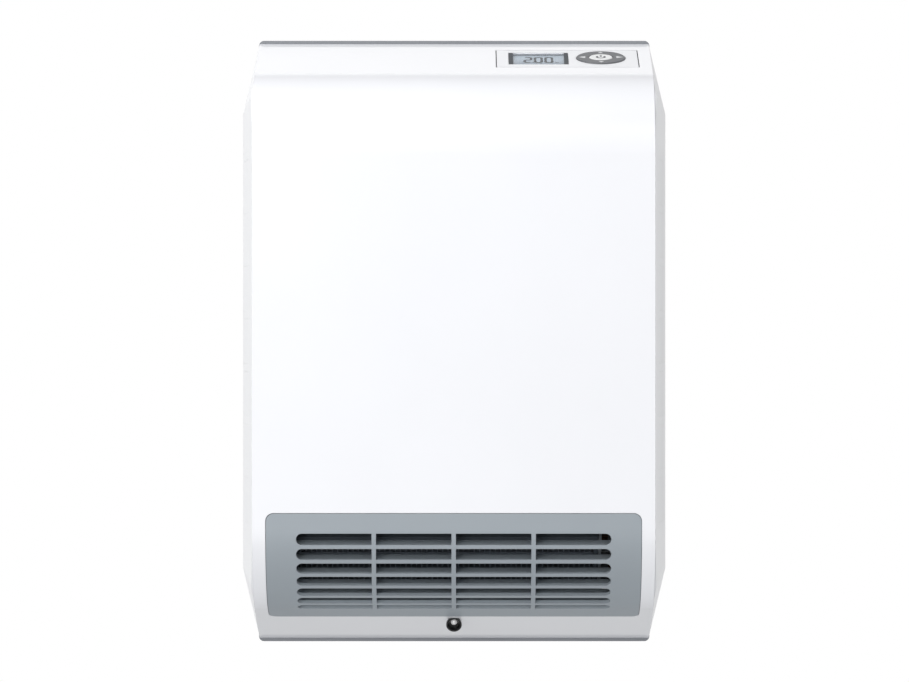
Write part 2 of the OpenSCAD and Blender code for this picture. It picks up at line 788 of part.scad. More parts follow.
// ---- Heater, in the frame of the outlet ----
heat_mid = 32.4 - nose_r;
frame_x = [duct_x[0] + 0.5, duct_x[1] - 0.5];

module heater_frame() color("ivory") {
    at_nose(out_dip) difference() {
        box([frame_x[0], heat_mid - heat_t / 2 - 2, -heat_h / 2 - 3], [frame_x[1], heat_mid + heat_t / 2 + 2, heat_h / 2 + 3]);
        box([frame_x[0] + 3.5, -60, -heat_h / 2 + 1.5], [frame_x[1] - 3.5, 0, heat_h / 2 - 1.5]);
        box([frame_x[0] + 3.5, heat_mid - heat_t / 2, -heat_h / 2], [frame_x[1] - 3.5, heat_mid + heat_t / 2, heat_h / 2]);
        for (z = [-12, 0, 12]) box([frame_x[1] - 5, heat_mid - 3.3, z - 0.7], [frame_x[1] + 1, heat_mid + 3.3, z + 0.7]);
    }
}

module heater_core() color("silver") {
    x = [frame_x[0] + 3.5 + gap, frame_x[1] - 3.5 - gap];
    n = floor((x[1] - x[0] - 2) / heat_pitch);
    at_nose(out_dip) {
        for (z = [-heat_h / 2 + gap, -heat_h / 6 - 1.5, heat_h / 6 - 1.5, heat_h / 2 - gap - 3])
            box([x[0], heat_mid - heat_t / 2 + gap, z], [x[1], heat_mid + heat_t / 2 - gap, z + 3]);
        for (i = [0 : n]) translate([x[0] + 1 + i * heat_pitch, 0, 0])
            box([0, heat_mid - heat_t / 2 + gap + 0.5, -heat_h / 2 + gap + 1],
                [0.6, heat_mid + heat_t / 2 - gap - 0.5, heat_h / 2 - gap - 1]);
    }
}

module heater_terminals() color("gold") {
    at_nose(out_dip) for (z = [-12, 0, 12])
        box([frame_x[1] - 3.3, heat_mid - 3, z - 0.4], [duct_x[1] + plate_t + 6, heat_mid + 3, z + 0.4]);
}

module thermal_cutout() color("tan") {
    seat = (lip + tongue_end) / 2 + polar(duct_t + 0.1, tongue_a + 90);
    translate([40, y_at(seat[0]), seat[1]]) rotate([tongue_a, 0, 0]) {
        cylinder(r = 8, h = 6);
        translate([0, 0, 6]) cylinder(r = 6.5, h = 3);
        linear_extrude(0.8) round_rect(28, 9, 4);
        for (s = [-1, 1]) box([s * 3 - 1.5, -0.3, 8.5], [s * 3 + 1.5, 0.3, 16]);
    }
}

// ---- Electrics in the upper half ----
pcb_y = -floor_h - board_off;
pcb_face = pcb_y - pcb_t;

module power_board() color("seagreen") {
    difference() {
        translate([board_c[0], pcb_y, board_c[2]]) rotate([90, 0, 0]) linear_extrude(pcb_t)
            round_rect(board_size[0], board_size[1], 3);
        board_bosses(1.8, pcb_y - 5, pcb_y + 5);
    }
}

module on_board(x, z) {
    translate([board_c[0] + x, pcb_face, board_c[2] + z]) children();
}

module relays() color("royalblue") {
    for (x = [-48, -22]) on_board(x, -24) box([-10, -16, -8], [10, 0, 8]);
    on_board(40, -22) box([-16, -26, -14], [16, 0, 14]);
}

module capacitor() color("black") {
    on_board(-45, 22) rod_y(9, -26, 0);
    on_board(-20, 24) rod_y(6, -18, 0);
}

module heat_sink() color("silver") {
    on_board(28, 24) {
        box([-22, -3, -12], [22, 0, 12]);
        for (i = [0 : 7]) box([-22 + i * 6, -20, -12], [-22 + i * 6 + 1.6, -2, 12]);
    }
}

module terminal_block() color("ivory") {
    translate([hood_x - 42.3, -floor_h, fan_c[1] + 77.6]) difference() {
        box([-20, -18, -9], [20, 0, 9]);
        for (x = [-12, 0, 12]) translate([x, 0, 0]) {
            translate([0, 0, 2]) rod_y(3, -19, -9);
            box([-3, -12, -10], [3, -5, -3]);
        }
    }
}

module cable_clamp() color("dimgray") {
    translate([cable_c[0], -floor_h, cable_c[2] + 26]) difference() {
        union() {
            box([-14, -4, -5], [14, 0, 5]);
            box([-7, -9, -5], [7, 0, 5]);
        }
        translate([0, -2, -6]) cylinder(r = cable_r, h = 12);
        for (s = [-1, 1]) translate([s * 10.5, 0, 0]) rod_y(1.7, -20, cut);
    }
}

module pan_screw(r, head_r, l) {
    rod_y(r, 0, l);
    rod_y(head_r, -1.8, 0);
}

module board_screws() color("silver") {
    translate([board_c[0], pcb_face, board_c[2]]) corners(board_size[0] - 12, board_size[1] - 12) pan_screw(1.35, 3, 8);
}

module blower_screws() color("silver") {
    for (i = [0, 1], z = foot_z) translate([foot_x[i], -floor_h - foot_off - 3, z]) pan_screw(1.55, 3.2, 5.5);
    at_fan() for (p = motor_posts) translate([0, p[0], p[1]]) {
        rod_x(1.35, duct_x[1] + 1, core_x[1]);
        rod_x(3, core_x[1], core_x[1] + 1.8);
    }
}

wall_bracket();
rear_panel();
cable_gland();
front_cover();
side_grille_left();
side_grille_right();
outlet_grille();
cover_screws();
control_panel();
display_window();
lcd_module();
keypad_frame();
nav_pivot();
nav_ring();
ok_button();
button_dome();
control_board();
sensor_collar();
room_sensor();
air_duct();
duct_tongue();
fan_impeller();
fan_shaft();
motor_rotor();
motor_core();
motor_coil();
motor_brackets();
motor_bushes();
bearing_bush();
bearing_rubber();
heater_frame();
heater_core();
heater_terminals();
thermal_cutout();
power_board();
relays();
capacitor();
heat_sink();
terminal_block();
cable_clamp();
board_screws();
blower_screws();
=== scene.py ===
import math

import bpy
from mathutils import Matrix, Vector


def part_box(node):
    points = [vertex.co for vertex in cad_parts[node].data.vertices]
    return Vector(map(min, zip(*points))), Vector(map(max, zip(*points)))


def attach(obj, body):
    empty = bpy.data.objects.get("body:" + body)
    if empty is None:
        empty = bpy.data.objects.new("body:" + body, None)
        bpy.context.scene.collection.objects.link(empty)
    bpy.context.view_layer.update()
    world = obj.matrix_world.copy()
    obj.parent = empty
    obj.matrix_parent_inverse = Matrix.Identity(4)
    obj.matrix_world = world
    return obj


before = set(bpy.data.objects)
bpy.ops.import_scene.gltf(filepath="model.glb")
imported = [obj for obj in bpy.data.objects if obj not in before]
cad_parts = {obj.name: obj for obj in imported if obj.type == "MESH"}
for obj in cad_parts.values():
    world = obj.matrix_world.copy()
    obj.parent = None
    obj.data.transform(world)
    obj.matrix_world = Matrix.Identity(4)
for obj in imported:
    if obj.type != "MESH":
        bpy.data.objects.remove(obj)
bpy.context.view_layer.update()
bpy.ops.object.select_all(action="DESELECT")
print("stage: packed heater loaded,", len(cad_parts), "nodes")

mm = 0.001
topSlope = math.radians(17.8)  # lean of the hood's top face towards the room
faceOverPivot = 4.0 * mm  # the top face lies this far over the middle of the pivot ring
waveRepeat = math.pi / 10  # a wave texture of scale 1 repeats after this length
finish = {}  # materials by name


# small helpers

def rgb(hexColour):
    # sRGB hex to the linear value that a shader socket takes
    channels = [int(hexColour[i:i + 2], 16) / 255 for i in (1, 3, 5)]
    linear = [c / 12.92 if c <= 0.04045 else ((c + 0.055) / 1.055) ** 2.4 for c in channels]
    return (*linear, 1.0)


def addNode(tree, kind, inputs=None, links=None, **settings):
    node = tree.nodes.new("ShaderNode" + kind)
    for name, value in settings.items():
        setattr(node, name, value)
    for socket, value in (inputs or {}).items():
        node.inputs[socket].default_value = value
    for socket, source in (links or {}).items():
        tree.links.new(source, node.inputs[socket])
    return node


def startMaterial(name):
    material = bpy.data.materials.new(name)
    material.use_nodes = True
    tree = material.node_tree
    tree.nodes.clear()
    place = addNode(tree, "TexCoord").outputs["Object"]
    return material, tree, place


def endMaterial(tree, surface):
    addNode(tree, "OutputMaterial", links={"Surface": surface.outputs[0]})


def between(tree, factor, low, high):
    # maps a 0 to 1 pattern to a narrow range of values
    spread = addNode(tree, "MapRange", {"To Min": low, "To Max": high}, {"Value": factor})
    return spread.outputs["Result"]


def tint(tree, factor, dark, light):
    # blends two near colours by a pattern
    mix = addNode(tree, "Mix", {"A": rgb(dark), "B": rgb(light)}, {"Factor": factor}, data_type="RGBA")
    return mix.outputs["Result"]


# moulded plastics: sRGB ends, roughness, grain width and depth in mm, edge radius in mm, gloss coat
plastics = {
    "hoodAbs": ("#f0f1f5", "#f4f5f9", 0.38, 1.4, 0.012, 0.8, 1.0),  # cool white with a clear shine
    "sideAbs": ("#f0f1f3", "#f4f5f7", 0.42, 1.4, 0.02, 0.6, 0.05),  # cool white, nearly matt
    "panelAbs": ("#ebecef", "#eff0f3", 0.4, 1.2, 0.015, 0.4, 0.0),  # a shade greyer than the hood, matt
    "rearAbs": ("#7b7e83", "#83868b", 0.55, 1.2, 0.05, 0.5, 0.0),  # mid grey, dull
    "grilleAbs": ("#979fa6", "#9ea6ac", 0.46, 1.2, 0.03, 0.4, 0.05),  # pale blue-grey, satin
    "ringAbs": ("#606266", "#696b6f", 0.42, 1.0, 0.03, 0.3, 0.05),  # dark grey, satin
    "buttonAbs": ("#e4e5e6", "#e9eaea", 0.36, 1.0, 0.01, 0.3, 0.1),  # off-white, smooth
    "collarAbs": ("#030304", "#070708", 0.3, 1.0, 0.02, 0.3, 0.0),  # near black, smooth
    "beadAbs": ("#fdfdfd", "#ffffff", 0.25, 1.0, 0.005, 0.2, 1.0),  # bright white with a glint
    "naturalNylon": ("#d9d6cc", "#e2dfd6", 0.5, 1.4, 0.03, 0.2, 0.0),  # milky cream
    "heatproofPpa": ("#3b4249", "#444b52", 0.6, 1.6, 0.06, 0.3, 0.0),  # dark, rough from its glass fibre
    "terminalMelamine": ("#d8d2c0", "#dfdaca", 0.5, 1.4, 0.03, 0.3, 0.0),  # ivory, dull
    "relayPbt": ("#1b3a78", "#22448a", 0.32, 1.4, 0.02, 0.2, 0.1),  # deep blue, smooth
    "capacitorSleeve": ("#141518", "#1d1e22", 0.28, 2.0, 0.01, 0.2, 0.2),  # black shrink sleeve, shiny
}
plasticSet = {"flow": 90 * mm, "handled": 24 * mm, "shineSpread": 0.05}


def mouldedPlastic(name, dark, light, roughness, grainMm, grainDepthMm, edgeMm, coat):
    # injection-moulded from a spark-eroded tool: even grain, drawn at 1 to 2 mm, wider than the real one,
    # so that it shows, softly rounded edges, a faint tone shift where the melt flowed, and a coat
    # where the tool was polished
    material, tree, place = startMaterial(name)
    flow = addNode(tree, "TexNoise", {"Scale": 1 / plasticSet["flow"], "Detail": 2.0},
                   {"Vector": place})
    grain = addNode(tree, "TexNoise", {"Scale": 1 / (grainMm * mm), "Detail": 3.0}, {"Vector": place})
    handled = addNode(tree, "TexNoise", {"Scale": 1 / plasticSet["handled"], "Detail": 4.0},
                      {"Vector": place})
    edges = addNode(tree, "Bevel", {"Radius": edgeMm * mm}, samples=4)
    bump = addNode(tree, "Bump", {"Strength": 0.25, "Distance": grainDepthMm * mm},
                   {"Height": grain.outputs["Fac"], "Normal": edges.outputs["Normal"]})
    spread = plasticSet["shineSpread"]
    shader = addNode(tree, "BsdfPrincipled", {
        "IOR": 1.52, "Coat Weight": coat, "Coat Roughness": 0.06}, {
        "Base Color": tint(tree, flow.outputs["Fac"], dark, light),
        "Roughness": between(tree, handled.outputs["Fac"], roughness - spread, roughness + spread),
        "Normal": bump.outputs["Normal"]})
    endMaterial(tree, shader)
    return material


for name, values in plastics.items():
    finish[name] = mouldedPlastic(name, *values)


def clearAcrylic(name):
    # cast and polished, with an anti-glare coat: clear, and its reflections are weaker than bare acrylic's
    material, tree, place = startMaterial(name)
    smears = addNode(tree, "TexNoise", {"Scale": 1 / (9 * mm), "Detail": 5.0}, {"Vector": place})
    clear = rgb("#f5f6f7")
    shader = addNode(tree, "BsdfPrincipled", {"Base Color": clear, "IOR": 1.07, "Transmission Weight": 1.0},
                     {"Roughness": between(tree, smears.outputs["Fac"], 0.01, 0.05)})
    # light passes to the display without a shadow, as through a thin pane
    straight = addNode(tree, "BsdfTransparent", {"Color": clear})
    ray = addNode(tree, "LightPath")
    pane = addNode(tree, "MixShader", links={
        0: ray.outputs["Is Shadow Ray"], 1: shader.outputs[0], 2: straight.outputs[0]})
    endMaterial(tree, pane)
    return material


glassSet = {
    "paintedShade": "#39424c", "dark": "#848f99", "light": "#929ca6",
    "shadeFrom": 0.6 * mm, "shadeTo": 18.6 * mm,  # from the cell's front edge towards the wall
    "cell": 14 * mm, "linePitch": 0.691 * mm, "lineTone": 0.15,
}


def displayGlass(name):
    # reflective liquid-crystal cell: blue-grey field with faint lines, and painted shade that darkens it
    # towards its front edge, where the pane's frame shades it
    material, tree, place = startMaterial(name)
    cell = addNode(tree, "TexNoise", {"Scale": 1 / glassSet["cell"], "Detail": 2.0}, {"Vector": place})
    lines = addNode(tree, "TexWave", {"Scale": waveRepeat / glassSet["linePitch"], "Distortion": 0.0},
                    {"Vector": place})
    tone = addNode(tree, "Math", {1: glassSet["lineTone"]}, {0: lines.outputs["Fac"]}, operation="MULTIPLY")
    field = addNode(tree, "Math", links={0: cell.outputs["Fac"], 1: tone.outputs[0]}, operation="ADD")
    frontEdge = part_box("lcd_module")[0].y
    depth = addNode(tree, "SeparateXYZ", links={"Vector": place})
    towardsWall = addNode(tree, "MapRange", {
        "From Min": frontEdge + glassSet["shadeFrom"], "From Max": frontEdge + glassSet["shadeTo"]},
        {"Value": depth.outputs["Y"]})
    # painted shade: the field blends to dark blue-grey towards the cell's front edge
    lit = addNode(tree, "Mix", {"A": rgb(glassSet["paintedShade"])}, {
        "Factor": towardsWall.outputs["Result"],
        "B": tint(tree, field.outputs[0], glassSet["dark"], glassSet["light"])}, data_type="RGBA")
    shader = addNode(tree, "BsdfPrincipled", {"IOR": 1.5, "Specular IOR Level": 0.2}, {
        "Base Color": lit.outputs["Result"],
        "Roughness": between(tree, cell.outputs["Fac"], 0.28, 0.36)})
    endMaterial(tree, shader)
    return material


# inks: colour and gloss
inks = {
    "darkInk": ("#44494e", 0.5), "digitInk": ("#14181b", 0.1), "paleInk": ("#d5d6d8", 0.5),
    "greyInk": ("#4c4f54", 0.5), "bezelGrey": ("#6f757b", 0.1),
}


def printedInk(name, colour, gloss):
    # pad-printed ink: flat, a little uneven where the pad lifted
    material, tree, place = startMaterial(name)
    pad = addNode(tree, "TexNoise", {"Scale": 1 / (1.5 * mm), "Detail": 3.0}, {"Vector": place})
    shade = addNode(tree, "HueSaturation", {"Color": rgb(colour)},
                    {"Value": between(tree, pad.outputs["Fac"], 0.94, 1.06)})
    shader = addNode(tree, "BsdfPrincipled", {"IOR": 1.5, "Roughness": 0.5, "Specular IOR Level": gloss},
                     {"Base Color": shade.outputs["Color"]})
    endMaterial(tree, shader)
    return material


for name, values in inks.items():
    finish[name] = printedInk(name, *values)

rubbers = {
    # the dark grey of the rubber in the panel's joint is painted shade, the shadow in the joint
    "blackRubber": ("#131313", "#1d1d1d"), "jointShadeRubber": ("#33353a", "#3c3e43"),
    "greySilicone": ("#9a9b9d", "#a8a9ab"),
}


def softRubber(name, dark, light):
    # moulded rubber: dull, with a fine bloom on the surface
    material, tree, place = startMaterial(name)
    bloom = addNode(tree, "TexNoise", {"Scale": 1 / (4 * mm), "Detail": 6.0}, {"Vector": place})
    bump = addNode(tree, "Bump", {"Strength": 0.3, "Distance": 0.05 * mm}, {"Height": bloom.outputs["Fac"]})
    shader = addNode(tree, "BsdfPrincipled", {"IOR": 1.52}, {
        "Base Color": tint(tree, bloom.outputs["Fac"], dark, light),
        "Roughness": between(tree, bloom.outputs["Fac"], 0.7, 0.85),
        "Normal": bump.outputs["Normal"]})
    endMaterial(tree, shader)
    return material


for name, values in rubbers.items():
    finish[name] = softRubber(name, *values)


def galvanisedSheet(name):
    # hot-dip zinc: crystals of about 9 mm, each with its own tone
    material, tree, place = startMaterial(name)
    crystals = addNode(tree, "TexVoronoi", {"Scale": 1 / (9 * mm)}, {"Vector": place})
    tone = addNode(tree, "SeparateColor", links={"Color": crystals.outputs["Color"]})
    shader = addNode(tree, "BsdfPrincipled", {"Metallic": 1.0}, {
        "Base Color": tint(tree, tone.outputs["Red"], "#9a9fa3", "#b9bdc0"),
        "Roughness": between(tree, tone.outputs["Green"], 0.32, 0.5)})
    endMaterial(tree, shader)
    return material


# lined metals: sRGB ends, roughness, line width in mm, axis that the lines run along
metals = {
    "coatedDuctSheet": ("#a9adb0", "#bcbfc2", 0.42, 1.5, "x"),  # rolled and zinc-coated: grey, satin
    "rolledAluminium": ("#b9bcbe", "#d2d4d6", 0.34, 1.2, "x"),  # pale, satin
    "heatDulledAluminium": ("#7e858d", "#8f969e", 0.6, 1.2, "x"),  # greyed by heat, dull
    "blackAnodisedAluminium": ("#34363a", "#45484c", 0.45, 1.2, "x"),  # charcoal, satin
    "groundSteel": ("#a6a8aa", "#c6c8ca", 0.25, 0.8, "y"),  # bright, with rings across the shaft
    "zincPlate": ("#a9acae", "#c9ccce", 0.3, 0.8, "z"),  # bright grey
    "sinteredBronze": ("#8a6a3a", "#b08a50", 0.42, 0.8, "x"),  # brown gold, satin
    "tinnedBrass": ("#85868a", "#98999c", 0.4, 0.8, "x"),  # grey, satin
}
metalSet = {"lineStretch": 0.04, "lineDepth": 0.02 * mm}


def drawnMetal(name, dark, light, roughness, lineMm, along):
    # rolled, drawn or ground: fine lines along one direction, drawn wider than real so that they show
    material, tree, place = startMaterial(name)
    stretch = [1.0, 1.0, 1.0]
    stretch["xyz".index(along)] = metalSet["lineStretch"]
    lay = addNode(tree, "Mapping", {"Scale": stretch}, {"Vector": place})
    lines = addNode(tree, "TexNoise", {"Scale": 1 / (lineMm * mm), "Detail": 3.0},
                    {"Vector": lay.outputs["Vector"]})
    bump = addNode(tree, "Bump", {"Strength": 0.15, "Distance": metalSet["lineDepth"]},
                   {"Height": lines.outputs["Fac"]})
    shader = addNode(tree, "BsdfPrincipled", {"Metallic": 1.0}, {
        "Base Color": tint(tree, lines.outputs["Fac"], dark, light),
        "Roughness": between(tree, lines.outputs["Fac"], roughness - 0.06, roughness + 0.08),
        "Normal": bump.outputs["Normal"]})
    endMaterial(tree, shader)
    return material


for name, values in metals.items():
    finish[name] = drawnMetal(name, *values)


def steelLaminations(name):
    # stacked 0.5 mm sheets, drawn 1.98 mm apart so that they show: dark lines across the axis
    material, tree, place = startMaterial(name)
    sheets = addNode(tree, "TexWave", {"Scale": waveRepeat / (1.98 * mm), "Distortion": 0.2},
                     {"Vector": place}, bands_direction="X")
    bump = addNode(tree, "Bump", {"Strength": 0.5, "Distance": 0.1 * mm}, {"Height": sheets.outputs["Fac"]})
    shader = addNode(tree, "BsdfPrincipled", {"Metallic": 1.0}, {
        "Base Color": tint(tree, sheets.outputs["Fac"], "#4a4c50", "#8a8d92"),
        "Roughness": between(tree, sheets.outputs["Fac"], 0.4, 0.55),
        "Normal": bump.outputs["Normal"]})
    endMaterial(tree, shader)
    return material


def copperWinding(name):
    # enamelled wire of about 0.4 mm, drawn 1.57 mm apart and dipped in brown varnish: tight dark rows
    material, tree, place = startMaterial(name)
    rows = addNode(tree, "TexWave", {"Scale": waveRepeat / (1.57 * mm), "Distortion": 0.6, "Detail": 1.0},
                   {"Vector": place}, bands_direction="Z")
    bump = addNode(tree, "Bump", {"Strength": 0.6, "Distance": 0.2 * mm}, {"Height": rows.outputs["Fac"]})
    shader = addNode(tree, "BsdfPrincipled", {"Metallic": 0.5}, {
        "Base Color": tint(tree, rows.outputs["Fac"], "#2e1d16", "#5e3d28"),
        "Roughness": between(tree, rows.outputs["Fac"], 0.3, 0.42),
        "Normal": bump.outputs["Normal"]})
    endMaterial(tree, shader)
    return material


def circuitBoard(name):
    # green solder mask over copper tracks, which show as a paler maze
    material, tree, place = startMaterial(name)
    tracks = addNode(tree, "TexBrick", {
        "Color1": rgb("#17452b"), "Color2": rgb("#1b5233"), "Mortar": rgb("#2c7048"),
        "Scale": 1 / (22 * mm), "Mortar Size": 0.03, "Brick Width": 0.7, "Row Height": 0.2},
        {"Vector": place})
    shader = addNode(tree, "BsdfPrincipled", {"IOR": 1.5, "Coat Weight": 0.4, "Coat Roughness": 0.15}, {
        "Base Color": tracks.outputs["Color"],
        "Roughness": between(tree, tracks.outputs["Fac"], 0.32, 0.45)})
    endMaterial(tree, shader)
    return material


finish["clearAcrylic"] = clearAcrylic("clearAcrylic")
finish["displayGlass"] = displayGlass("displayGlass")
finish["galvanisedSheet"] = galvanisedSheet("galvanisedSheet")
finish["steelLaminations"] = steelLaminations("steelLaminations")
finish["copperWinding"] = copperWinding("copperWinding")
finish["circuitBoard"] = circuitBoard("circuitBoard")

nodeFinish = {
    "front_cover": "hoodAbs", "side_grille_left": "sideAbs", "side_grille_right": "sideAbs",
    "control_panel": "panelAbs", "rear_panel": "rearAbs", "outlet_grille": "grilleAbs",
    "display_window": "clearAcrylic", "lcd_module": "displayGlass", "nav_ring": "ringAbs",
    "ok_button": "buttonAbs", "button_dome": "greySilicone", "keypad_frame": "naturalNylon",
    "nav_pivot": "naturalNylon", "control_board": "circuitBoard", "sensor_collar": "collarAbs",
    "room_sensor": "beadAbs", "wall_bracket": "galvanisedSheet", "cable_gland": "blackRubber",
    "cover_screws": "zincPlate", "air_duct": "coatedDuctSheet", "duct_tongue": "coatedDuctSheet",
    "fan_impeller": "blackAnodisedAluminium", "fan_shaft": "groundSteel",
    "motor_rotor": "steelLaminations", "motor_core": "steelLaminations", "motor_coil": "copperWinding",
    "motor_brackets": "galvanisedSheet", "motor_bushes": "sinteredBronze",
    "bearing_bush": "sinteredBronze", "bearing_rubber": "blackRubber", "heater_frame": "heatproofPpa",
    "heater_core": "heatDulledAluminium", "heater_terminals": "tinnedBrass",
    "thermal_cutout": "heatproofPpa", "power_board": "circuitBoard", "relays": "relayPbt",
    "capacitor": "capacitorSleeve", "heat_sink": "rolledAluminium", "terminal_block": "terminalMelamine",
    "cable_clamp": "naturalNylon", "board_screws": "zincPlate", "blower_screws": "zincPlate",
}
for node, name in nodeFinish.items():
    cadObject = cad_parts[node]
    cadObject.data.materials.clear()
    cadObject.data.materials.append(finish[name])
print("stage: finishes set on", len(nodeFinish), "nodes")


# new pieces: shared steps

def editAll(obj):
    bpy.ops.object.select_all(action="DESELECT")
    obj.select_set(True)
    bpy.context.view_layer.objects.active = obj
    bpy.ops.object.mode_set(mode="EDIT")
    bpy.ops.mesh.select_all(action="SELECT")


def giveThickness(thickness):
    # gives a flat outline its thickness, upwards, and leaves edit mode
    bpy.ops.mesh.extrude_region_move(TRANSFORM_OT_translate={"value": (0, 0, thickness)})
    bpy.ops.mesh.select_all(action="SELECT")
    bpy.ops.mesh.normals_make_consistent(inside=False)
    bpy.ops.object.mode_set(mode="OBJECT")


def flatBar(length, width, thickness, cut):
    # a bar with cut corners, as a display's segment has
    bpy.ops.mesh.primitive_plane_add(size=1)
    bar = bpy.context.object
    bar.data.transform(Matrix.Diagonal((length, width, 1, 1)))
    editAll(bar)
    if cut:
        bpy.ops.mesh.bevel(offset=cut, affect="VERTICES")
    giveThickness(thickness)
    return bar


def flatFrame(length, width, border, thickness):
    # a rectangular frame: the outline inset, and its middle taken out
    bpy.ops.mesh.primitive_plane_add(size=1)
    outline = bpy.context.object
    outline.data.transform(Matrix.Diagonal((length, width, 1, 1)))
    editAll(outline)
    bpy.ops.mesh.inset(thickness=border)
    bpy.ops.mesh.delete(type="FACE")
    bpy.ops.mesh.select_all(action="SELECT")
    giveThickness(thickness)
    return outline


def finishPiece(parts, name, place, body, materialName):
    # joins copies into one piece, puts its place in its mesh and lets it ride on its body
    bpy.ops.object.select_all(action="DESELECT")
    for part in parts:
        part.data.transform(part.matrix_world)
        part.matrix_world = Matrix.Identity(4)
        part.select_set(True)
    bpy.context.view_layer.objects.active = parts[0]
    if len(parts) > 1:
        bpy.ops.object.join()
    piece = parts[0]
    piece.name = name
    piece.data.name = name
    piece.data.transform(place)
    piece.data.materials.clear()
    piece.data.materials.append(finish[materialName])
    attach(piece, body)
    bpy.ops.object.select_all(action="DESELECT")
    return piece


def onTopSlope(node, height):
    # a frame turned to the sloping top, at the middle of a node's box and raised square to the slope
    low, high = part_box(node)
    middle = (Vector(low) + Vector(high)) / 2
    tilt = Matrix.Rotation(topSlope, 4, "X")
    return Matrix.Translation(middle) @ tilt @ Matrix.Translation((0, 0, height))


def overKeypad(height):
    # the same at the middle of the ring and button, with heights from the hood's top face
    return onTopSlope("nav_pivot", faceOverPivot + height)


# display: the figures lie on the cell, the masks on the pane, the border and lining under it

windowSet = {
    "width": 46.2 * mm, "length": 36.2 * mm, "thickness": 1.5 * mm,  # the pane
    "ledge": 1.0 * mm, "clear": 0.02 * mm,  # pane to cell, and what stays free over the cell
    "film": 0.03 * mm,  # thickness of the masks and the border
    "mask": 3.2 * mm, "maskSide": 0.15 * mm, "maskEnd": 0.2 * mm,  # width, and what it keeps from the edges
    "border": 2.1 * mm, "borderEdge": 0.1 * mm,
    "lining": 0.2 * mm, "liningEdge": 2.05 * mm,
}
digitSet = {
    "figures": "200", "height": 15.6 * mm, "width": 5.0 * mm, "pitch": 8.1 * mm,
    "segment": 2.1 * mm, "gap": 0.25 * mm, "cutShare": 0.45, "thickness": 0.04 * mm,
    "point": 1.5 * mm, "unitLength": 3.0 * mm, "unitWidth": 1.4 * mm, "unitPitches": 1.8,
    "smallCut": 0.3 * mm, "towardsWall": 2.6 * mm,
}
segmentsOf = {"0": "abcdef", "2": "abged"}


def segmentPlaces(settings):
    # centre and turn of the seven segments a to g
    x = settings["width"] / 2
    y = settings["height"] / 2
    return {"a": (0, y, 0), "b": (x, y / 2, 90), "c": (x, -y / 2, 90), "d": (0, -y, 0),
            "e": (-x, -y / 2, 90), "f": (-x, y / 2, 90), "g": (0, 0, 0)}


def makeDigits(settings, window):
    places = segmentPlaces(settings)
    thickness = settings["thickness"]
    cut = settings["segment"] * settings["cutShare"]
    parts = []
    for index, figure in enumerate(settings["figures"]):
        shift = (index - 1) * settings["pitch"]
        for key in segmentsOf[figure]:
            x, y, turn = places[key]
            length = settings["width"] if turn == 0 else settings["height"] / 2
            bar = flatBar(length - settings["gap"], settings["segment"], thickness, cut)
            bar.matrix_world = (Matrix.Translation((x + shift, y, 0))
                                @ Matrix.Rotation(math.radians(turn), 4, "Z"))
            parts.append(bar)
    foot = -settings["height"] / 2
    point = flatBar(settings["point"], settings["point"], thickness, settings["smallCut"])
    point.matrix_world = Matrix.Translation((-settings["pitch"] / 2, foot, 0))
    parts.append(point)
    unit = flatBar(settings["unitLength"], settings["unitWidth"], thickness, settings["smallCut"])
    unit.matrix_world = Matrix.Translation((settings["pitch"] * settings["unitPitches"], foot, 0))
    parts.append(unit)
    height = window["clear"] - window["ledge"] - window["thickness"] / 2
    place = onTopSlope("display_window", height) @ Matrix.Translation((0, settings["towardsWall"], 0))
    return finishPiece(parts, "displayDigits", place, "housing", "digitInk")


def makeWindowMask(settings):
    # dark ends printed on the pane
    length = settings["length"] - 2 * settings["maskEnd"]
    offset = (settings["width"] - settings["mask"]) / 2 - settings["maskSide"]
    parts = []
    for side in (-1, 1):
        bar = flatBar(settings["mask"], length, settings["film"], 0)
        bar.matrix_world = Matrix.Translation((side * offset, 0, 0))
        parts.append(bar)
    place = onTopSlope("display_window", settings["thickness"] / 2)
    return finishPiece(parts, "windowMask", place, "housing", "darkInk")


def makeBezel(settings):
    # grey border under the pane, and a grey lining of the opening down to the cell, which make the band
    # round the cell darker
    outer = 2 * settings["borderEdge"]
    border = flatFrame(settings["width"] - outer, settings["length"] - outer, settings["border"],
                       settings["film"])
    inner = 2 * settings["liningEdge"]
    lining = flatFrame(settings["width"] - inner, settings["length"] - inner, settings["lining"],
                       settings["ledge"] - 2 * settings["clear"])
    lining.matrix_world = Matrix.Translation((0, 0, settings["clear"] - settings["ledge"]))
    place = onTopSlope("display_window", -settings["thickness"] / 2)
    return finishPiece([border, lining], "displayBezel", place, "housing", "bezelGrey")


makeDigits(digitSet, windowSet)
makeWindowMask(windowSet)
makeBezel(windowSet)
print("stage: display figures, masks and bezel made")

jointShadeSet = {
    "fromKeypad": (-26.1 * mm, -1.9 * mm, 0),  # the panel's middle, from the keypad's
    "length": 110.3 * mm, "width": 53.3 * mm, "bead": 0.6 * mm, "thickness": 1.2 * mm, "sunk": 0.25 * mm,
}


def makeJointShade(settings):
    # dark rubber frame that fills the joint round the panel and shows as a dark line: its dark tone is
    # painted shade, the shadow in the joint
    seal = flatFrame(settings["length"], settings["width"], settings["bead"], settings["thickness"])
    place = (overKeypad(-settings["sunk"] - settings["thickness"])
             @ Matrix.Translation(settings["fromKeypad"]))
    return finishPiece([seal], "panelJointShade", place, "housing", "jointShadeRubber")


makeJointShade(jointShadeSet)
print("stage: panel seal made")

keypadSet = {
    "ringTop": 0.8 * mm, "buttonTop": 0.9 * mm, "ink": 0.04 * mm,
    "arrowRadius": 3.6 * mm, "shortArrowRadius": 2.52 * mm, "arrowOffset": 13.8 * mm, "arrowCut": 0.4 * mm,
    "markRadius": 3.9 * mm, "markLine": 1.6 * mm, "markSides": 48, "markGapLines": 1.3,
    "barShare": 0.75, "barCut": 0.15 * mm,
}


